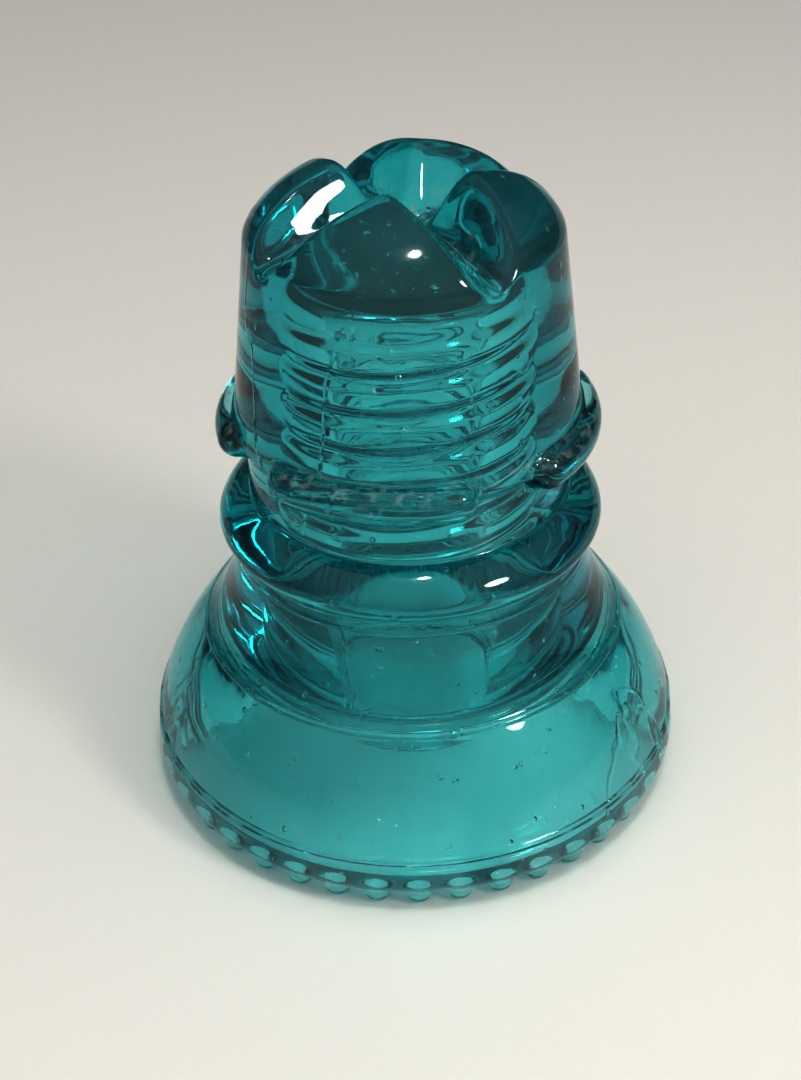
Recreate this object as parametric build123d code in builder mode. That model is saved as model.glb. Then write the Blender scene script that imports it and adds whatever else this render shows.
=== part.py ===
"""Pin-type glass line insulator: one press-moulded body with a saddle-groove crown.

Frame: origin on the axis, at the plane that the drip points stand on, +Z up.
The two wire saddles cross the crown along X and along Y, so the four lobes and
the four wire ledges are centred on the diagonals. All lengths are in millimetres.
"""

import os
from math import cos, degrees, radians, sin, tan

from build123d import *

# ---------------------------------------------------------------- crown and barrel
CROWN_TOP = 109.0  # where the dome would meet the axis, if nothing were cut from it
DOME_MID_R, DOME_MID_Z = 16.0, 105.9
DOME_EDGE_R, DOME_EDGE_Z = 21.6, 102.0
SHOULDER_R, SHOULDER_Z = 24.3, 97.9  # where the dome has rolled over into the barrel
BARREL_FOOT_R, BARREL_FOOT_Z = 28.0, 67.0  # the barrel widens slightly downwards

# ---------------------------------------------------------------- saddle grooves
SADDLE_COUNT = 2
SADDLE_FLOOR_Z = 98.4
SADDLE_FLOOR_R = 3.0  # the round bottom that the line wire lies in
SADDLE_WALL_LEAN = 20  # degrees that each wall leans out from vertical
LOBE_EDGE_R = 4.0

# ---------------------------------------------------------------- wire ledges and tie-wire groove
LEDGE_COUNT = 4
LEDGE_Z = 66.5
LEDGE_BEAD_R = 3.2
LEDGE_RING_R = 27.7
LEDGE_SPAN = 68.5  # degrees, over its rounded ends
TIE_GROOVE_R = 26.2
TIE_GROOVE_TOP_Z = 64.6

# ---------------------------------------------------------------- flange and neck
FLANGE_TOP_Z = 55.0
FLANGE_CROWN_R, FLANGE_CROWN_Z = 30.2, 52.7
FLANGE_R, FLANGE_Z = 31.6, 49.6
FLANGE_FOOT_R, FLANGE_FOOT_Z = 29.3, 46.6
NECK_ARC_R = 29.1  # the neck flares down to the skirt in one concave arc

# ---------------------------------------------------------------- outer skirt
SKIRT_TOP_R, SKIRT_TOP_Z = 35.5, 28.7  # an upper mould seam runs round here
SKIRT_MID_R, SKIRT_MID_Z = 41.7, 20.0
SKIRT_LOW_R, SKIRT_LOW_Z = 45.15, 11.3  # and a lower one here
SKIRT_R, SKIRT_EDGE_Z = 46.0, 6.6
BASE_Z = 3.6
BASE_OUTER_R = 43.0

# ---------------------------------------------------------------- drip points
DRIP_COUNT = 40
DRIP_RING_R = 42.2
DRIP_R = 2.3

# ---------------------------------------------------------------- bell cavity and inner skirt
CAVITY_MOUTH_R = 37.8
CAVITY_WAIST_R, CAVITY_WAIST_Z = 32.5, 14.0
CAVITY_SHOULDER_R, CAVITY_SHOULDER_Z = 29.0, 22.5
CAVITY_TOP_Z = 25.5
INNER_SKIRT_TOP_R = 24.5
INNER_SKIRT_R = 25.0
INNER_SKIRT_Z = 13.0
INNER_SKIRT_EDGE_R = 2.4

# ---------------------------------------------------------------- pinhole and its thread
THREAD_CREST_R = 12.0
THREAD_DEPTH = 0.7
THREAD_PITCH = 25.4 / 4  # four threads to the inch, the standard insulator pin
THREAD_ROOT_ARC_R = 1.75
THREAD_START_Z = 46.0
THREAD_END_Z = 86.0
CREST_WALL_FOOT_Z = 48.0
CREST_WALL_TOP_Z = 88.6
PINHOLE_TOP_R, PINHOLE_TOP_Z = 9.8, 90.6
LAND_R = 13.9
LAND_TOP_Z = 46.6
MOUTH_R = 16.6


# The thread's round-bottomed groove, as a bar coiled up the pinhole.
with BuildPart() as thread_cutter:
    coil_r = THREAD_CREST_R + THREAD_DEPTH - THREAD_ROOT_ARC_R
    with BuildLine() as coil:
        Helix(THREAD_PITCH, THREAD_END_Z - THREAD_START_Z, coil_r, center=(0, 0, THREAD_START_Z))
    with BuildSketch(Plane(coil.line @ 0, z_dir=coil.line % 0)):
        Circle(THREAD_ROOT_ARC_R)
    sweep(is_frenet=True)

# The wedge-shaped groove with a round floor that one line wire lies in.
with BuildPart() as saddle_cutter:
    lean = radians(SADDLE_WALL_LEAN)
    wall_foot_z = SADDLE_FLOOR_Z + SADDLE_FLOOR_R * (1 - sin(lean))
    wall_foot = Vector(SADDLE_FLOOR_R * cos(lean), wall_foot_z)
    wall_rise = CROWN_TOP + 2 - wall_foot_z
    wall_top = wall_foot + Vector(wall_rise * tan(lean), wall_rise)
    with BuildSketch(Plane.XZ):
        with BuildLine():
            floor_arc = ThreePointArc(
                (-wall_foot.X, wall_foot.Y), (0, SADDLE_FLOOR_Z), (wall_foot.X, wall_foot.Y)
            )
            Polyline(
                floor_arc @ 1, (wall_top.X, wall_top.Y), (-wall_top.X, wall_top.Y), floor_arc @ 0
            )
        make_face()
    extrude(amount=2 * SHOULDER_R, both=True)

# One wire ledge: a bead that follows the barrel, with ball ends.
with BuildPart() as wire_ledge:
    end_angle = degrees(LEDGE_BEAD_R / LEDGE_RING_R)
    bead_arc = LEDGE_SPAN - 2 * end_angle
    with BuildSketch(Plane.XZ):
        with Locations((LEDGE_RING_R, LEDGE_Z)):
            Circle(LEDGE_BEAD_R)
    revolve(axis=Axis.Z, revolution_arc=bead_arc)
    for end, facing in ((0, 180), (bead_arc, bead_arc)):
        end_centre = Vector(LEDGE_RING_R, 0, LEDGE_Z).rotate(Axis.Z, end)
        with Locations(Location(end_centre, (0, 0, facing))):
            Sphere(LEDGE_BEAD_R, arc_size3=180, align=Align.NONE)

# One drip point: a round-ended peg under the skirt.
with BuildPart() as drip_point:
    with Locations((0, 0, DRIP_R)):
        Sphere(DRIP_R)
        Cylinder(DRIP_R, BASE_Z, align=(Align.CENTER, Align.CENTER, Align.MIN))

with BuildPart() as glass_insulator:
    # The outer body is one section turned about the axis.
    with BuildSketch(Plane.XZ):
        with BuildLine():
            Line((0, BASE_Z), (0, CROWN_TOP))
            Spline(
                (0, CROWN_TOP),
                (DOME_MID_R, DOME_MID_Z),
                (DOME_EDGE_R, DOME_EDGE_Z),
                (SHOULDER_R, SHOULDER_Z),
                tangents=[(1, 0), (BARREL_FOOT_R - SHOULDER_R, BARREL_FOOT_Z - SHOULDER_Z)],
            )
            Polyline(
                (SHOULDER_R, SHOULDER_Z),
                (BARREL_FOOT_R, BARREL_FOOT_Z),
                (TIE_GROOVE_R, TIE_GROOVE_TOP_Z),
                (TIE_GROOVE_R, FLANGE_TOP_Z),
            )
            Spline(
                (TIE_GROOVE_R, FLANGE_TOP_Z),
                (FLANGE_CROWN_R, FLANGE_CROWN_Z),
                (FLANGE_R, FLANGE_Z),
                (FLANGE_FOOT_R, FLANGE_FOOT_Z),
                tangents=[(1, -0.1), (-1, -0.25)],
            )
            neck_mid_z = (FLANGE_FOOT_Z + SKIRT_TOP_Z) / 2
            neck_rise = FLANGE_FOOT_Z - neck_mid_z
            neck_mid_r = FLANGE_FOOT_R + NECK_ARC_R - (NECK_ARC_R**2 - neck_rise**2) ** 0.5
            ThreePointArc(
                (FLANGE_FOOT_R, FLANGE_FOOT_Z), (neck_mid_r, neck_mid_z), (SKIRT_TOP_R, SKIRT_TOP_Z)
            )
            ThreePointArc(
                (SKIRT_TOP_R, SKIRT_TOP_Z), (SKIRT_MID_R, SKIRT_MID_Z), (SKIRT_LOW_R, SKIRT_LOW_Z)
            )
            Polyline(
                (SKIRT_LOW_R, SKIRT_LOW_Z), (SKIRT_R, SKIRT_EDGE_Z), (BASE_OUTER_R, BASE_Z), (0, BASE_Z)
            )
        make_face()
    revolve(axis=Axis.Z)

    # Two saddle grooves leave four lobes, and their pressed edges are rounded.
    for saddle in range(SADDLE_COUNT):
        add(saddle_cutter.part, rotation=(0, 0, 90 * saddle), mode=Mode.SUBTRACT)
    dome_edges = edges().filter_by(GeomType.BSPLINE)
    wall_corners = edges().filter_by(GeomType.LINE)
    fillet(
        dome_edges.filter_by_position(Axis.Z, SADDLE_FLOOR_Z - 0.1, CROWN_TOP)
        + wall_corners.filter_by_position(Axis.Z, DOME_EDGE_Z, CROWN_TOP),
        radius=LOBE_EDGE_R,
    )

    # Four wire ledges stand out over the tie-wire groove, under the lobes.
    for ledge in range(LEDGE_COUNT):
        ledge_start = 90 * ledge + 45 - bead_arc / 2
        add(wire_ledge.part, rotation=(0, 0, ledge_start))

    # Drip points ring the underside of the skirt.
    with PolarLocations(DRIP_RING_R, DRIP_COUNT):
        add(drip_point.part)

    # Everything under the glass: the bell cavity, the inner skirt's edge and the pinhole.
    with BuildSketch(Plane.XZ):
        with BuildLine():
            Line((0, 0), (CAVITY_MOUTH_R, 0))
            Line((CAVITY_MOUTH_R, 0), (CAVITY_MOUTH_R, BASE_Z))
            ThreePointArc(
                (CAVITY_MOUTH_R, BASE_Z),
                (CAVITY_WAIST_R, CAVITY_WAIST_Z),
                (CAVITY_SHOULDER_R, CAVITY_SHOULDER_Z),
            )
            cavity_top_r = (CAVITY_SHOULDER_R + INNER_SKIRT_TOP_R) / 2
            ThreePointArc(
                (CAVITY_SHOULDER_R, CAVITY_SHOULDER_Z),
                (cavity_top_r, CAVITY_TOP_Z),
                (INNER_SKIRT_TOP_R, CAVITY_SHOULDER_Z),
            )
            edge_z = INNER_SKIRT_Z + INNER_SKIRT_EDGE_R
            outer_foot = (INNER_SKIRT_R - INNER_SKIRT_EDGE_R, INNER_SKIRT_Z)
            inner_foot = (MOUTH_R + INNER_SKIRT_EDGE_R, INNER_SKIRT_Z)
            Line((INNER_SKIRT_TOP_R, CAVITY_SHOULDER_Z), (INNER_SKIRT_R, edge_z))
            RadiusArc((INNER_SKIRT_R, edge_z), outer_foot, INNER_SKIRT_EDGE_R)
            Line(outer_foot, inner_foot)
            RadiusArc(inner_foot, (MOUTH_R, edge_z), INNER_SKIRT_EDGE_R)
            Polyline(
                (MOUTH_R, edge_z),
                (LAND_R, LAND_TOP_Z),
                (THREAD_CREST_R, CREST_WALL_FOOT_Z),
                (THREAD_CREST_R, CREST_WALL_TOP_Z),
            )
            Spline(
                (THREAD_CREST_R, CREST_WALL_TOP_Z),
                (PINHOLE_TOP_R, PINHOLE_TOP_Z),
                tangents=[(0, 1), (-1, 0)],
            )
            Polyline((PINHOLE_TOP_R, PINHOLE_TOP_Z), (0, PINHOLE_TOP_Z), (0, 0))
        make_face()
    revolve(axis=Axis.Z, mode=Mode.SUBTRACT)
    add(thread_cutter.part, mode=Mode.SUBTRACT)

os.makedirs("parts", exist_ok=True)
glass_insulator.part.label = "glass_insulator"
export_step(glass_insulator.part, "parts/glass_insulator.step")
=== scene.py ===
"""Looks of the glass pin-type insulator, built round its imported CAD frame.

The whole object is one closed glass surface, so it is one mesh: a section is traced
from the crown's centre, down the outside, under the skirt and up into the pinhole,
once for each direction round the axis. Lengths are worked out in millimetres and
become metres when the mesh is made.
"""

from math import cos, pi, radians, sin

import bpy
import numpy as np
from mathutils import Matrix, Vector


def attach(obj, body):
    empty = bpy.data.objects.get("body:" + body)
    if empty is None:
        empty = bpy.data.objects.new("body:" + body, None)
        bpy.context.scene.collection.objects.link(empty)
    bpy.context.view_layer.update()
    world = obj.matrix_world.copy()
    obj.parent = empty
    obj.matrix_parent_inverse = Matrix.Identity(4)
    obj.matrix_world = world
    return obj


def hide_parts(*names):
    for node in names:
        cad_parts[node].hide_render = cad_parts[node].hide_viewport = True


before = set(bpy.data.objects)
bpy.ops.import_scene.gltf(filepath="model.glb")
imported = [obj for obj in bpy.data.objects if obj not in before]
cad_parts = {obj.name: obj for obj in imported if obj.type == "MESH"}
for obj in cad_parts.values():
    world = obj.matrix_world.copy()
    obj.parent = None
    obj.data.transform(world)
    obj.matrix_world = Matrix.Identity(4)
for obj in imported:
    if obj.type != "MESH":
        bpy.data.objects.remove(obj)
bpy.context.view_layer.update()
MM = 0.001

# ------------------------------------------------------------------ driving sizes, mm
CROWN_TOP = 109.0
SHOULDER_R, SHOULDER_Z = 24.3, 97.9
DOME_POWER_R, DOME_POWER_Z = 2.4, 1.4
SADDLE_FLOOR_Z = 98.4
SADDLE_WALL_SLOPE = 3.2
SADDLE_FLOOR_HALF = 4.2
SADDLE_END_DROP = 0.9
LOBE_ROUNDING = 5.5
CORNER_ROUNDING = 5.5

BARREL_FOOT_R, BARREL_FOOT_Z = 28.0, 67.0
TIE_GROOVE_R, TIE_GROOVE_TOP_Z = 26.2, 64.6
LEDGE_Z, LEDGE_BEAD_R, LEDGE_RING_R, LEDGE_SPAN = 66.5, 3.2, 27.7, 68.5
FLANGE_TOP_Z = 55.0
FLANGE_R, FLANGE_Z = 31.6, 49.6
FLANGE_FOOT_R, FLANGE_FOOT_Z = 29.3, 46.6
NECK_ARC_R = 29.1
SKIRT_TOP = (35.5, 28.7)
SKIRT_MID = (41.7, 20.0)
SKIRT_LOW = (45.15, 11.3)
SKIRT_EDGE = (46.0, 6.6)
BASE_OUTER_R = 43.0
BASE_Z = SKIRT_EDGE[1] - (SKIRT_EDGE[0] - BASE_OUTER_R)
DRIP_COUNT = 40
DRIP_RING_R = 42.2
DRIP_R = 2.3

CAVITY_MOUTH = (37.8, BASE_Z)
CAVITY_WAIST = (32.5, 14)
CAVITY_SHOULDER = (29.0, 22.5)
CAVITY_TOP_Z = 25.5
INNER_SKIRT_TOP_R = 24.5
INNER_SKIRT_R = 25.0
INNER_SKIRT_Z = 13.0
INNER_SKIRT_EDGE_R = 2.4
MOUTH_R, LAND_R, LAND_TOP_Z = 16.6, 13.9, 46.6
THREAD_CREST_R = 12.0
THREAD_DEPTH = 0.7
THREAD_PITCH = 6.35
THREAD_RIDGE_SHARE = 0.7
CREST_WALL_FOOT_Z = 48.0
CREST_WALL_TOP_Z = 88.6
PINHOLE_TOP_Z = 90.6
PINHOLE_TOP_FLAT_R = 9.8

# ------------------------------------------------------------------ glass, heights and widths in metres
GLASS_TINT = (0.02, 0.81, 0.835)
GLASS_DENSITY = 66
GLASS_IOR = 1.52
SURFACE_TINT = (0.74, 0.96, 0.96)
SURFACE_ROUGHNESS = 0.07

HAZE_TINT = (0.10, 0.66, 0.70)
CROWN_HAZE_ZONE = (0.086, 0.102)
CROWN_HAZE = 0.09
BODY_HAZE = 0.004
SPECK_COVER = 0.25

RESIDUE_TINT = (0.52, 0.50, 0.42)
RESIDUE_COVER = 0.28
LEDGE_EDGE_Z, LEDGE_EDGE_REACH = 0.0688, 0.0018
SADDLE_DUST_FOOT = (0.0976, 0.0982)
SADDLE_DUST_TOP = (0.0995, 0.1035)
SADDLE_DUST_R = (0.017, 0.020)

FILM_ZONE = (0.006, 0.026)
FILM_COVER = 0.12
DOWNWARD_STRETCH = (1, 1, 0.35)  # noise drawn out along the axis

WAVE_HEIGHT, WAVE_STRENGTH = 0.001, 0.4
CHILL_HEIGHT, CHILL_STRENGTH = 0.0001, 0.15
WRINKLE_HEIGHT, WRINKLE_STRENGTH = 0.0004, 0.3
WRINKLE_WIDTH = 0.012  # as a share of the noise's range
NECK_WRINKLES_PLACE = (-0.0185, -0.0245, 0.038)
NECK_WRINKLES_REACH = (0.006, 0.013)
SEED_HEIGHT, SEED_STRENGTH = 0.0003, 0.75
SEED_SIZE = (0.06, 0.11)  # as a share of the spacing between seeds

# ------------------------------------------------------------------ studio, places in metres
# a place is to the camera's right, away from the camera and up, from the insulator's axis
FLOOR_HALF = 3.0
FLOOR_COLOR = (0.74, 0.735, 0.715)
FLOOR_ROUGHNESS = 0.35
WORLD_COLOR = (1, 0.985, 0.96)
WORLD_BRIGHT_SIDE = (0.1, -0.5, 0.75)
WORLD_DIM, WORLD_BRIGHT = 0.12, 1.1
WORLD_DIM_FROM, WORLD_BRIGHT_FROM = 0.0, 0.8  # as the cosine of the angle from the bright side
LIGHTS_AIM = (0, 0, 0.05)
OVERHEAD_PLACE = (0.08, -0.25, 1.0)
OVERHEAD_SIZE, OVERHEAD_POWER = 0.3, 2.2
OVERHEAD_COLOR = (1, 0.98, 0.95)
BULB_SIZE, BULB_POWER = 0.07, 1.0
BULB_COLOR = (1, 0.98, 0.94)
LAMP_PLACE = (0.45, -0.35, 0.45)
LAMP_SIZE, LAMP_POWER = 0.16, 1.5
LAMP_COLOR = (1, 0.93, 0.85)
GLEAM_SIZE, GLEAM_POWER = 0.07, 4.3
VIEW_GAMMA = 0.60
INDIRECT_CLAMP = 40
MAX_BOUNCES = 24
GLOSSY_BOUNCES = 12

# ------------------------------------------------------------------ mesh fineness
COLUMNS = 240  # round the axis; the drip points get twice as many


# ------------------------------------------------------------------ curve helpers
def smooth_min(a, b, width):
    """The lower of two heights, with the crease between them rounded over a width."""
    share = np.clip(0.5 + 0.5 * (b - a) / width, 0, 1)
    return b * (1 - share) + a * share - width * share * (1 - share)


def smooth_max(a, b, width):
    return -smooth_min(-a, -b, width)


def smooth_step(x):
    x = np.clip(x, 0, 1)
    return x * x * (3 - 2 * x)


def arc_through(start, middle, end, count):
    """Points on the circular arc through three points, ends included."""
    (x1, y1), (x2, y2), (x3, y3) = start, middle, end
    d = 2 * (x1 * (y2 - y3) + x2 * (y3 - y1) + x3 * (y1 - y2))
    s1, s2, s3 = x1 * x1 + y1 * y1, x2 * x2 + y2 * y2, x3 * x3 + y3 * y3
    cx = (s1 * (y2 - y3) + s2 * (y3 - y1) + s3 * (y1 - y2)) / d
    cy = (s1 * (x3 - x2) + s2 * (x1 - x3) + s3 * (x2 - x1)) / d
    radius = np.hypot(x1 - cx, y1 - cy)
    a1, a2, a3 = (np.arctan2(y - cy, x - cx) for x, y in (start, middle, end))
    a2 = a1 + (a2 - a1 + pi) % (2 * pi) - pi
    a3 = a2 + (a3 - a2 + pi) % (2 * pi) - pi
    angle = np.linspace(a1, a3, count)
    return np.c_[cx + radius * np.cos(angle), cy + radius * np.sin(angle)]


def bezier(p0, p1, p2, p3, count):
    t = np.linspace(0, 1, count)[:, None]
    p0, p1, p2, p3 = (np.array(p, float) for p in (p0, p1, p2, p3))
    return (1 - t) ** 3 * p0 + 3 * t * (1 - t) ** 2 * p1 + 3 * t * t * (1 - t) * p2 + t**3 * p3


def line(start, end, count):
    return np.linspace(start, end, count)


def rounded(corner, before, after, radius, count=7):
    """A small bend at a corner between two straight stretches."""
    corner, before, after = (np.array(p, float) for p in (corner, before, after))
    towards_before = (before - corner) / np.linalg.norm(before - corner)
    towards_after = (after - corner) / np.linalg.norm(after - corner)
    start, end = corner + radius * towards_before, corner + radius * towards_after
    return bezier(start, (start + 2 * corner) / 3, (end + 2 * corner) / 3, end, count)


def join(*stretches):
    """One path from several, without repeating the points where they meet."""
    path = [np.array(stretches[0][0], float)]
    for stretch in stretches:
        for point in stretch:
            if np.hypot(*(point - path[-1])) > 1e-4:
                path.append(np.array(point, float))
    return np.array(path)


def resample(paths, count, crowding=None):
    """Paths as [direction, point, rz], respaced evenly along each one's own length."""
    steps = np.hypot(np.diff(paths[..., 0]), np.diff(paths[..., 1]))
    if crowding is not None:
        steps = steps * crowding
    reach = np.concatenate([np.zeros((len(paths), 1)), np.cumsum(steps, 1)], 1)
    even = np.linspace(0, 1, count)
    out = np.empty((len(paths), count, 2))
    for i, path in enumerate(paths):
        at = reach[i] / reach[i, -1]
        out[i, :, 0] = np.interp(even, at, path[:, 0])
        out[i, :, 1] = np.interp(even, at, path[:, 1])
    return out


# ------------------------------------------------------------------ the section, region by region
def crown_height(r, angle):
    """Height of the lobed crown: a dome with two crossing saddle grooves."""
    dome_share = np.clip(1 - (r / SHOULDER_R) ** DOME_POWER_R, 0, 1) ** (1 / DOME_POWER_Z)
    dome = SHOULDER_Z + (CROWN_TOP - SHOULDER_Z) * dome_share
    grooves = []
    for across, along in ((r * np.sin(angle), r * np.cos(angle)), (r * np.cos(angle), r * np.sin(angle))):
        rise = SADDLE_WALL_SLOPE * (np.hypot(across, SADDLE_FLOOR_HALF) - SADDLE_FLOOR_HALF)
        grooves.append(SADDLE_FLOOR_Z + rise - SADDLE_END_DROP * (along / SHOULDER_R) ** 2)
    return smooth_min(dome, smooth_min(*grooves, CORNER_ROUNDING), LOBE_ROUNDING)


def crown_region(angles, count=96):
    share = np.linspace(0, 1, 1400)
    r = SHOULDER_R * (1 - (1 - share) ** 2.2)
    rr, aa = np.meshgrid(r, angles)
    return resample(np.stack([rr, crown_height(rr, aa)], -1), count)


def barrel_r(z):
    slope = (BARREL_FOOT_R - SHOULDER_R) / (BARREL_FOOT_Z - SHOULDER_Z)
    return SHOULDER_R + slope * (z - SHOULDER_Z)


LEDGE_ZONE_TOP, LEDGE_ZONE_FOOT = 71.5, 61.0


def barrel_region(angles, count=22):
    z = np.linspace(SHOULDER_Z, LEDGE_ZONE_TOP, count)
    return np.broadcast_to(np.stack([barrel_r(z), z], -1), (len(angles), count, 2))


def ledge_region(angles, count=44):
    """The barrel's foot, the step into the tie-wire groove, and the four ledges."""
    z = np.linspace(LEDGE_ZONE_TOP, LEDGE_ZONE_FOOT, 700)
    zz, aa = np.meshgrid(z, angles)
    step = smooth_step((zz - TIE_GROOVE_TOP_Z) / (BARREL_FOOT_Z - TIE_GROOVE_TOP_Z))
    wall = TIE_GROOVE_R + (barrel_r(zz) - TIE_GROOVE_R) * step
    from_centre = aa % (pi / 2) - pi / 4
    half_core = LEDGE_RING_R * radians(LEDGE_SPAN) / 2 - LEDGE_BEAD_R
    past_core = np.maximum(np.abs(from_centre) * LEDGE_RING_R - half_core, 0)
    reach = np.hypot(past_core, zz - LEDGE_Z)
    inside = np.sqrt(np.clip(LEDGE_BEAD_R**2 - reach**2, 0, None))
    bead = LEDGE_RING_R + inside - 2.5 * np.maximum(reach - LEDGE_BEAD_R, 0)
    return resample(np.stack([smooth_max(wall, bead, 0.7), zz], -1), count)


def revolved(path, angles):
    return np.broadcast_to(path, (len(angles), len(path), 2))


SEAMS = (  # height of each fine mould line on the outside, its proudness and its width
    (SKIRT_TOP[1], 0.32, 0.26),
    (SKIRT_LOW[1], 0.30, 0.26),
    (SKIRT_LOW[1] - 1.1, 0.26, 0.26),
    (FLANGE_FOOT_Z - 0.3, 0.25, 0.28),
    (FLANGE_FOOT_Z - 2.6, 0.16, 0.30),
)


def with_seams(path):
    """Adds close rows at each mould line and raises them a little."""
    z = path[:, 1]
    extra = [z]
    for seam_z, _, width in SEAMS:
        extra.append(seam_z + width * np.linspace(-2.4, 2.4, 9))
    rows = np.unique(np.round(np.concatenate(extra), 4))[::-1]
    rows = rows[(rows <= z[0]) & (rows >= z[-1])]
    r = np.interp(rows, z[::-1], path[::-1, 0])
    for seam_z, proud, width in SEAMS:
        r = r + proud * np.exp(-(((rows - seam_z) / width) ** 2))
    return np.c_[r, rows]


def flank_path():
    """From the tie-wire groove's wall, over the flange, down the neck and the outer skirt."""
    neck_centre_r = FLANGE_FOOT_R + NECK_ARC_R
    neck_mid_z = (FLANGE_FOOT_Z + SKIRT_TOP[1]) / 2
    neck_mid_r = neck_centre_r - np.sqrt(NECK_ARC_R**2 - (FLANGE_FOOT_Z - neck_mid_z) ** 2)
    groove_corner = (TIE_GROOVE_R, FLANGE_TOP_Z)
    flange_top = bezier(groove_corner, (28.6, 54.4), (FLANGE_R, 51.8), (FLANGE_R, FLANGE_Z), 22)
    flange_under = bezier(
        (FLANGE_R, FLANGE_Z), (FLANGE_R, 48.2), (30.6, 47.0), (FLANGE_FOOT_R, FLANGE_FOOT_Z), 14
    )
    corner_bend = rounded(groove_corner, (TIE_GROOVE_R, LEDGE_ZONE_FOOT), flange_top[2], 0.5)
    groove_wall = line((TIE_GROOVE_R, LEDGE_ZONE_FOOT), corner_bend[0], 8)
    neck = arc_through((FLANGE_FOOT_R, FLANGE_FOOT_Z), (neck_mid_r, neck_mid_z), SKIRT_TOP, 22)
    skirt = arc_through(SKIRT_TOP, SKIRT_MID, SKIRT_LOW, 22)
    upper = join(groove_wall, corner_bend, flange_top[2:], flange_under)
    lower = join(neck, skirt, line(SKIRT_LOW, SKIRT_EDGE, 7))
    split = np.array([p for p in lower if p[1] < FLANGE_FOOT_Z])
    return join(upper, with_seams(np.vstack([upper[-1], split])))


def base_region(angles, count=26):
    """The skirt's rounded lower edge and the ring of drip points under it."""
    edge_r = SKIRT_EDGE[0] - BASE_OUTER_R
    bend = np.linspace(0, pi / 2, 120)
    outer = np.c_[BASE_OUTER_R + edge_r * np.cos(bend), SKIRT_EDGE[1] - edge_r * np.sin(bend)]
    flat = line((BASE_OUTER_R, BASE_Z), CAVITY_MOUTH, 500)
    path = join(outer, flat)
    rr = np.broadcast_to(path[:, 0], (len(angles), len(path)))
    zz = np.broadcast_to(path[:, 1], (len(angles), len(path)))
    pitch = 2 * pi / DRIP_COUNT
    aside = (angles[:, None] % pitch - pitch / 2) * DRIP_RING_R
    off = np.hypot(aside, rr - DRIP_RING_R)
    ball = DRIP_R - np.sqrt(np.clip(DRIP_R**2 - off**2, 0, None)) + 6 * np.maximum(off - DRIP_R, 0)
    return resample(np.stack([rr, smooth_min(zz, ball, 0.4)], -1), count)


def underside_path():
    """Up the bell cavity, over the inner skirt's rim and up the pinhole's plain entry."""
    top_r = (CAVITY_SHOULDER[0] + INNER_SKIRT_TOP_R) / 2
    rim_z = INNER_SKIRT_Z + INNER_SKIRT_EDGE_R
    bend = np.linspace(0, pi / 2, 8)
    rim_outer_r, rim_inner_r = INNER_SKIRT_R - INNER_SKIRT_EDGE_R, MOUTH_R + INNER_SKIRT_EDGE_R
    outer_bend = np.c_[
        rim_outer_r + INNER_SKIRT_EDGE_R * np.cos(bend), rim_z - INNER_SKIRT_EDGE_R * np.sin(bend)
    ]
    inner_bend = np.c_[
        rim_inner_r - INNER_SKIRT_EDGE_R * np.sin(bend), rim_z - INNER_SKIRT_EDGE_R * np.cos(bend)
    ]
    return join(
        arc_through(CAVITY_MOUTH, CAVITY_WAIST, CAVITY_SHOULDER, 18),
        arc_through(CAVITY_SHOULDER, (top_r, CAVITY_TOP_Z), (INNER_SKIRT_TOP_R, CAVITY_SHOULDER[1]), 14),
        line((INNER_SKIRT_TOP_R, CAVITY_SHOULDER[1]), (INNER_SKIRT_R, rim_z), 10),
        outer_bend,
        inner_bend,
        line((MOUTH_R, rim_z), (LAND_R, LAND_TOP_Z), 16),
    )


def thread_region(angles, count=110):
    """The pinhole's wall with its rounded helical thread, right-handed."""
    z = np.linspace(LAND_TOP_Z, CREST_WALL_TOP_Z, 1500)
    zz, aa = np.meshgrid(z, angles)
    turn = (zz - CREST_WALL_FOOT_Z) / THREAD_PITCH - aa / (2 * pi)
    across = np.abs(turn % 1 - 0.5) / (THREAD_RIDGE_SHARE / 2)
    groove = 0.5 - 0.5 * np.cos(pi * np.clip(across, 0, 1))
    fade_in = smooth_step((zz - LAND_TOP_Z) / 3)
    fade_out = smooth_step((CREST_WALL_TOP_Z - zz) / 4)
    plain = LAND_R + (THREAD_CREST_R - LAND_R) * smooth_step((zz - LAND_TOP_Z) / 3)
    r = plain + THREAD_DEPTH * groove * fade_in * fade_out
    return resample(np.stack([r, zz], -1), count)


def pinhole_top_path():
    rise = PINHOLE_TOP_Z - CREST_WALL_TOP_Z
    corner = bezier(
        (THREAD_CREST_R, CREST_WALL_TOP_Z),
        (THREAD_CREST_R, CREST_WALL_TOP_Z + rise * 0.7),
        (THREAD_CREST_R * 0.3 + PINHOLE_TOP_FLAT_R * 0.7, PINHOLE_TOP_Z),
        (PINHOLE_TOP_FLAT_R, PINHOLE_TOP_Z),
        16,
    )
    return join(corner, line((PINHOLE_TOP_FLAT_R, PINHOLE_TOP_Z), (0.4, PINHOLE_TOP_Z), 8))


# ------------------------------------------------------------------ from sections to one closed mesh
def directions(count):
    return np.arange(count) * 2 * pi / count


def rings_of(sections):
    """Sections as [direction, point, rz] turned into rings of xyz, one for each point."""
    angle = directions(len(sections))[:, None]
    r, z = sections[..., 0], sections[..., 1]
    xyz = np.stack([r * np.cos(angle), r * np.sin(angle), z], -1)
    return [xyz[:, i] for i in range(xyz.shape[1])]


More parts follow.
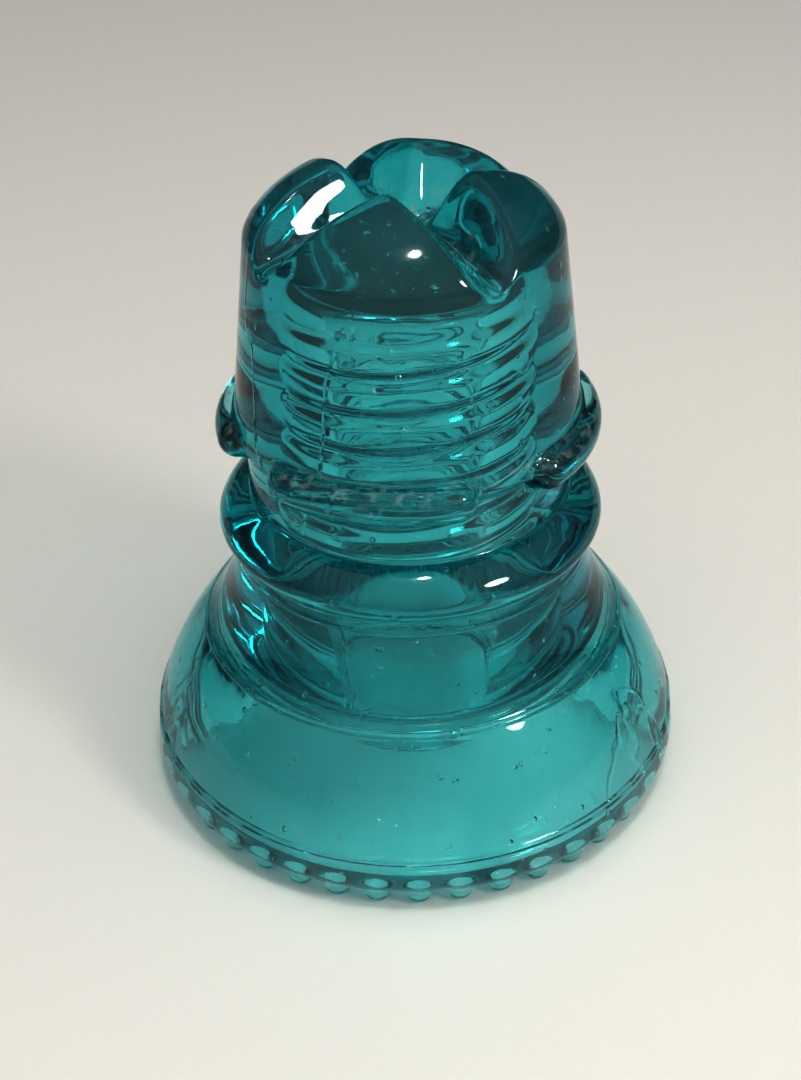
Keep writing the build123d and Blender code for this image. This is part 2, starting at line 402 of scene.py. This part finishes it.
def glass_rings():
    coarse, fine = directions(COLUMNS), directions(2 * COLUMNS)
    flank = flank_path()
    rings = rings_of(crown_region(coarse))[1:]
    rings += rings_of(barrel_region(coarse))[1:]
    rings += rings_of(ledge_region(coarse))[1:]
    rings += rings_of(revolved(flank, coarse))[1:]
    rings += rings_of(base_region(fine))[1:-1]
    rings += rings_of(revolved(underside_path(), coarse))
    rings += rings_of(thread_region(coarse))[1:]
    rings += rings_of(revolved(pinhole_top_path(), coarse))[1:]
    return rings


def strip(first, first_count, second, second_count):
    """Faces between two rings, where either may have twice the other's points."""
    if first_count == second_count:
        i = np.arange(first_count)
        j = (i + 1) % first_count
        return [tuple(q) for q in np.c_[first + i, first + j, second + j, second + i]]
    if first_count < second_count:
        return [tuple(reversed(f)) for f in strip(second, second_count, first, first_count)]
    faces = []
    for i in range(second_count):
        a, b, c = (first + (2 * i + k) % first_count for k in (0, 1, 2))
        d, e = second + i, second + (i + 1) % second_count
        faces += [(a, b, d), (b, e, d), (b, c, e)]
    return faces


def closed_mesh(name, rings, top, bottom):
    """A closed mesh from rings and a point that closes each end."""
    starts = np.cumsum([1] + [len(r) for r in rings])
    verts = np.vstack([[top]] + rings + [[bottom]])
    last = len(verts) - 1
    n = len(rings[0])
    faces = [(0, 1 + (i + 1) % n, 1 + i) for i in range(n)]
    for i in range(len(rings) - 1):
        faces += [
            tuple(reversed(f)) for f in strip(starts[i], len(rings[i]), starts[i + 1], len(rings[i + 1]))
        ]
    n, base = len(rings[-1]), starts[-2]
    faces += [(last, base + i, base + (i + 1) % n) for i in range(n)]
    mesh = bpy.data.meshes.new(name)
    mesh.from_pydata((verts * MM).tolist(), [], [tuple(int(v) for v in f) for f in faces])
    mesh.validate()
    mesh.shade_smooth()
    return mesh


def build_glass():
    crown_centre = (0, 0, float(crown_height(np.array(0.0), np.array(0.0))))
    mesh = closed_mesh("glass_body", glass_rings(), crown_centre, (0, 0, PINHOLE_TOP_Z))
    piece = bpy.data.objects.new("glass_body", mesh)
    bpy.context.scene.collection.objects.link(piece)
    return piece


# ------------------------------------------------------------------ materials
def add_noise(tree, place, scale, detail, roughness=0.5):
    noise = tree.nodes.new("ShaderNodeTexNoise")
    noise.inputs["Scale"].default_value = scale
    noise.inputs["Detail"].default_value = detail
    noise.inputs["Roughness"].default_value = roughness
    tree.links.new(place, noise.inputs["Vector"])
    return noise.outputs["Fac"]


def remap(tree, value, low, high, to_low, to_high):
    node = tree.nodes.new("ShaderNodeMapRange")
    for name, number in zip(("From Min", "From Max", "To Min", "To Max"), (low, high, to_low, to_high)):
        node.inputs[name].default_value = number
    tree.links.new(value, node.inputs["Value"])
    return node.outputs["Result"]


def combine(tree, operation, first, second):
    node = tree.nodes.new("ShaderNodeMath")
    node.operation = operation
    for socket, value in zip(node.inputs, (first, second)):
        if isinstance(value, (int, float)):
            socket.default_value = value
        else:
            tree.links.new(value, socket)
    return node.outputs[0]


def add_bump(tree, height, distance, strength, before=None):
    bump = tree.nodes.new("ShaderNodeBump")
    bump.inputs["Distance"].default_value = distance
    bump.inputs["Strength"].default_value = strength
    tree.links.new(height, bump.inputs["Height"])
    if before is not None:
        tree.links.new(before, bump.inputs["Normal"])
    return bump.outputs["Normal"]


def distance_to(tree, value, level):
    """How far a number is from a level."""
    return combine(tree, "ABSOLUTE", combine(tree, "SUBTRACT", value, level), 0)


def lines_in_noise(tree, place, scale, detail, width):
    """Thin lines where a noise passes through its middle value."""
    return remap(tree, distance_to(tree, add_noise(tree, place, scale, detail), 0.5), 0.0, width, 1.0, 0.0)


def mixed_color(tree, share, first, second):
    mix = tree.nodes.new("ShaderNodeMix")
    mix.data_type = "RGBA"
    for socket, color in ((mix.inputs["A"], first), (mix.inputs["B"], second)):
        if isinstance(color, tuple):
            socket.default_value = (*color, 1)
        else:
            tree.links.new(color, socket)
    tree.links.new(share, mix.inputs["Factor"])
    return mix.outputs["Result"]


def vector_number(tree, operation, vector, fixed=None):
    """A length, or a distance to or product with a fixed vector."""
    node = tree.nodes.new("ShaderNodeVectorMath")
    node.operation = operation
    tree.links.new(vector, node.inputs[0])
    if fixed is not None:
        node.inputs[1].default_value = fixed
    return node.outputs["Value"]


def settled_residue(tree, place, axes):
    """Where pale residue lies: along the ledges' upper edge and in the saddles."""
    height = axes.outputs["Z"]
    level = tree.nodes.new("ShaderNodeCombineXYZ")
    for name in ("X", "Y"):
        tree.links.new(axes.outputs[name], level.inputs[name])
    radius = vector_number(tree, "LENGTH", level.outputs[0])
    ledge_edge = remap(tree, distance_to(tree, height, LEDGE_EDGE_Z), 0.0, LEDGE_EDGE_REACH, 1, 0)
    saddles = combine(
        tree,
        "MULTIPLY",
        remap(tree, height, *SADDLE_DUST_FOOT, 0.0, 1.0),
        remap(tree, height, *SADDLE_DUST_TOP, 1.0, 0.0),
    )
    saddles = combine(tree, "MULTIPLY", saddles, remap(tree, radius, *SADDLE_DUST_R, 1.0, 0.0))
    grains = remap(tree, add_noise(tree, place, 620, 6, 0.65), 0.50, 0.66, 0.0, 1.0)
    return combine(tree, "MULTIPLY", combine(tree, "ADD", ledge_edge, saddles), grains)


def total_haze(tree, place, downward, height, blotches, crown_share, residue):
    """How far the surface is clouded: crown haze, specks, residue and a dust film low down."""
    on_crown = remap(tree, blotches, 0.3, 0.7, 0.5 * CROWN_HAZE, CROWN_HAZE)
    specks = remap(tree, add_noise(tree, place, 900, 2), 0.66, 0.72, 0.0, SPECK_COVER)
    streaks = remap(tree, add_noise(tree, downward, 60, 4), 0.35, 0.65, 0.1, 1.0)
    layers = (
        combine(tree, "MULTIPLY", crown_share, on_crown),
        combine(tree, "MULTIPLY", specks, remap(tree, blotches, 0.5, 0.62, 0, 1)),
        combine(tree, "MULTIPLY", residue, RESIDUE_COVER),
        combine(tree, "MULTIPLY", streaks, remap(tree, height, *FILM_ZONE, FILM_COVER, 0.0)),
    )
    haze = BODY_HAZE
    for layer in layers:
        haze = combine(tree, "ADD", haze, layer)
    return haze


def surface_relief(tree, place, downward):
    """Slow waves, a fine chill texture, shear wrinkles and seeds, as one normal."""
    waves = add_bump(tree, add_noise(tree, place, 55, 2), WAVE_HEIGHT, WAVE_STRENGTH)
    chill = add_bump(tree, add_noise(tree, place, 300, 2), CHILL_HEIGHT, CHILL_STRENGTH, waves)
    patches = remap(tree, add_noise(tree, place, 24, 1), 0.52, 0.60, 0.0, 1.0)
    scattered = combine(tree, "MULTIPLY", lines_in_noise(tree, downward, 38, 3, WRINKLE_WIDTH), patches)
    from_patch = vector_number(tree, "DISTANCE", place, NECK_WRINKLES_PLACE)
    near_patch = remap(tree, from_patch, *NECK_WRINKLES_REACH, 1.0, 0.0)
    on_neck = combine(
        tree, "MULTIPLY", near_patch, lines_in_noise(tree, downward, 95, 2, 2.0 * WRINKLE_WIDTH)
    )
    wrinkles = combine(tree, "ADD", on_neck, scattered)
    wrinkled = add_bump(tree, wrinkles, WRINKLE_HEIGHT, WRINKLE_STRENGTH, chill)
    cells = tree.nodes.new("ShaderNodeTexVoronoi")
    cells.inputs["Scale"].default_value = 210
    tree.links.new(place, cells.inputs["Vector"])
    seeds = remap(tree, cells.outputs["Distance"], *SEED_SIZE, 1.0, 0.0)
    return add_bump(tree, seeds, SEED_HEIGHT, SEED_STRENGTH, wrinkled)


def glass_material():
    material = bpy.data.materials.new("teal_pressed_glass")
    material.use_nodes = True
    tree = material.node_tree
    nodes, links = tree.nodes, tree.links
    shader = nodes["Principled BSDF"]
    place = nodes.new("ShaderNodeTexCoord").outputs["Object"]
    axes = nodes.new("ShaderNodeSeparateXYZ")
    links.new(place, axes.inputs[0])
    height = axes.outputs["Z"]
    stretch = nodes.new("ShaderNodeMapping")
    stretch.inputs["Scale"].default_value = DOWNWARD_STRETCH
    links.new(place, stretch.inputs["Vector"])
    downward = stretch.outputs[0]

    # the crown has weathered most: a thin teal haze over clear glass
    blotches = add_noise(tree, place, 90, 5)
    crown_share = remap(tree, height, *CROWN_HAZE_ZONE, 0.0, 1.0)
    residue = settled_residue(tree, place, axes)
    haze = total_haze(tree, place, downward, height, blotches, crown_share, residue)
    clean = mixed_color(tree, crown_share, SURFACE_TINT, HAZE_TINT)
    links.new(mixed_color(tree, residue, clean, RESIDUE_TINT), shader.inputs["Base Color"])
    links.new(combine(tree, "SUBTRACT", 1.0, haze), shader.inputs["Transmission Weight"])
    links.new(remap(tree, blotches, 0.35, 0.65, 0.0, SURFACE_ROUGHNESS), shader.inputs["Roughness"])
    links.new(surface_relief(tree, place, downward), shader.inputs["Normal"])
    shader.inputs["IOR"].default_value = GLASS_IOR

    # the colour comes from the glass's own depth
    absorb = nodes.new("ShaderNodeVolumeAbsorption")
    absorb.inputs["Color"].default_value = (*GLASS_TINT, 1)
    absorb.inputs["Density"].default_value = GLASS_DENSITY
    links.new(absorb.outputs[0], nodes["Material Output"].inputs["Volume"])
    return material


def floor_material():
    material = bpy.data.materials.new("pale_paper")
    material.use_nodes = True
    shader = material.node_tree.nodes["Principled BSDF"]
    shader.inputs["Base Color"].default_value = (*FLOOR_COLOR, 1)
    shader.inputs["Roughness"].default_value = FLOOR_ROUGHNESS
    return material


# ------------------------------------------------------------------ stage, camera and light
CAMERA_AZIMUTH = radians(-121.5)
CAMERA_RADIUS, CAMERA_HEIGHT = 226.7 * MM, 196.5 * MM
CAMERA_PITCH, CAMERA_YAW, CAMERA_ROLL = radians(-34.36), radians(-0.447), radians(-1.53)
CAMERA_LENS = 54.07


def add_camera():
    data = bpy.data.cameras.new("camera")
    data.lens = CAMERA_LENS
    data.sensor_width = 36
    data.clip_start = 0.01
    camera = bpy.data.objects.new("camera", data)
    bpy.context.scene.collection.objects.link(camera)
    heading = Matrix.Rotation(CAMERA_AZIMUTH + pi / 2, 3, "Z")
    forward = heading @ Vector(
        (sin(CAMERA_YAW) * cos(CAMERA_PITCH), cos(CAMERA_YAW) * cos(CAMERA_PITCH), sin(CAMERA_PITCH))
    )
    right = heading @ Vector((cos(CAMERA_YAW), -sin(CAMERA_YAW), 0))
    up = right.cross(forward)
    rolled_right = cos(CAMERA_ROLL) * right + sin(CAMERA_ROLL) * up
    rolled_up = cos(CAMERA_ROLL) * up - sin(CAMERA_ROLL) * right
    turn = Matrix((rolled_right, rolled_up, -forward)).transposed().to_4x4()
    place = (CAMERA_RADIUS * cos(CAMERA_AZIMUTH), CAMERA_RADIUS * sin(CAMERA_AZIMUTH), CAMERA_HEIGHT)
    camera.matrix_world = Matrix.Translation(place) @ turn
    bpy.context.scene.camera = camera


def seen_from_camera(right, away, up):
    """A point given as metres to the camera's right, away from it and up, from the axis."""
    turn = Matrix.Rotation(CAMERA_AZIMUTH + pi / 2, 3, "Z")
    return turn @ Vector((right, away, up))


def add_area_light(name, place, size, power, color):
    data = bpy.data.lights.new(name, "AREA")
    data.shape = "DISK"
    data.size = size
    data.energy = power
    data.color = color
    lamp = bpy.data.objects.new(name, data)
    bpy.context.scene.collection.objects.link(lamp)
    aim = (Vector(LIGHTS_AIM) - place).normalized()
    lamp.matrix_world = Matrix.Translation(place) @ aim.to_track_quat("-Z", "Y").to_matrix().to_4x4()
    return lamp


def add_world():
    """A dim studio that brightens smoothly towards a large soft source in front and above."""
    world = bpy.data.worlds.new("studio")
    bpy.context.scene.world = world
    world.use_nodes = True
    tree = world.node_tree
    background = tree.nodes["Background"]
    background.inputs["Color"].default_value = (*WORLD_COLOR, 1)
    direction = tree.nodes.new("ShaderNodeTexCoord").outputs["Generated"]
    bright_side = seen_from_camera(*WORLD_BRIGHT_SIDE).normalized()
    facing = vector_number(tree, "DOT_PRODUCT", direction, bright_side)
    strength = remap(tree, facing, WORLD_DIM_FROM, WORLD_BRIGHT_FROM, WORLD_DIM, WORLD_BRIGHT)
    tree.links.new(strength, background.inputs["Strength"])


def add_floor():
    mesh = bpy.data.meshes.new("floor")
    corners = [(FLOOR_HALF * x, FLOOR_HALF * y, 0) for x, y in ((-1, -1), (1, -1), (1, 1), (-1, 1))]
    mesh.from_pydata(corners, [], [(0, 1, 2, 3)])
    floor = bpy.data.objects.new("floor", mesh)
    bpy.context.scene.collection.objects.link(floor)
    floor.data.materials.append(floor_material())


def add_lights():
    """A soft overhead light with a small bulb in it, a lamp at the right, and two gleams.

    The gleams don't light the floor directly. They show as glints on the glass, and their
    light reaches the inside of the bell through the glass.
    """
    overhead, lamp_place = seen_from_camera(*OVERHEAD_PLACE), seen_from_camera(*LAMP_PLACE)
    soft = add_area_light("overhead", overhead, OVERHEAD_SIZE, OVERHEAD_POWER, OVERHEAD_COLOR)
    soft.visible_glossy = False
    add_area_light("bulb", overhead, BULB_SIZE, BULB_POWER, BULB_COLOR)
    add_area_light("lamp", lamp_place, LAMP_SIZE, LAMP_POWER, LAMP_COLOR)
    for name, place in (("overhead_gleam", overhead), ("lamp_gleam", lamp_place)):
        gleam = add_area_light(name, place, GLEAM_SIZE, GLEAM_POWER, OVERHEAD_COLOR)
        gleam.visible_diffuse = False
        gleam.visible_transmission = False


def set_view():
    view = bpy.context.scene.view_settings
    view.view_transform = "Standard"
    view.gamma = VIEW_GAMMA
    cycles = bpy.context.scene.cycles
    cycles.sample_clamp_indirect = INDIRECT_CLAMP
    cycles.max_bounces = MAX_BOUNCES
    cycles.transmission_bounces = MAX_BOUNCES
    cycles.glossy_bounces = GLOSSY_BOUNCES


# ------------------------------------------------------------------ put together
add_camera()
add_floor()
add_world()
add_lights()
set_view()
glass = build_glass()
glass.data.materials.append(glass_material())
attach(glass, "root")
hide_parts("glass_insulator")
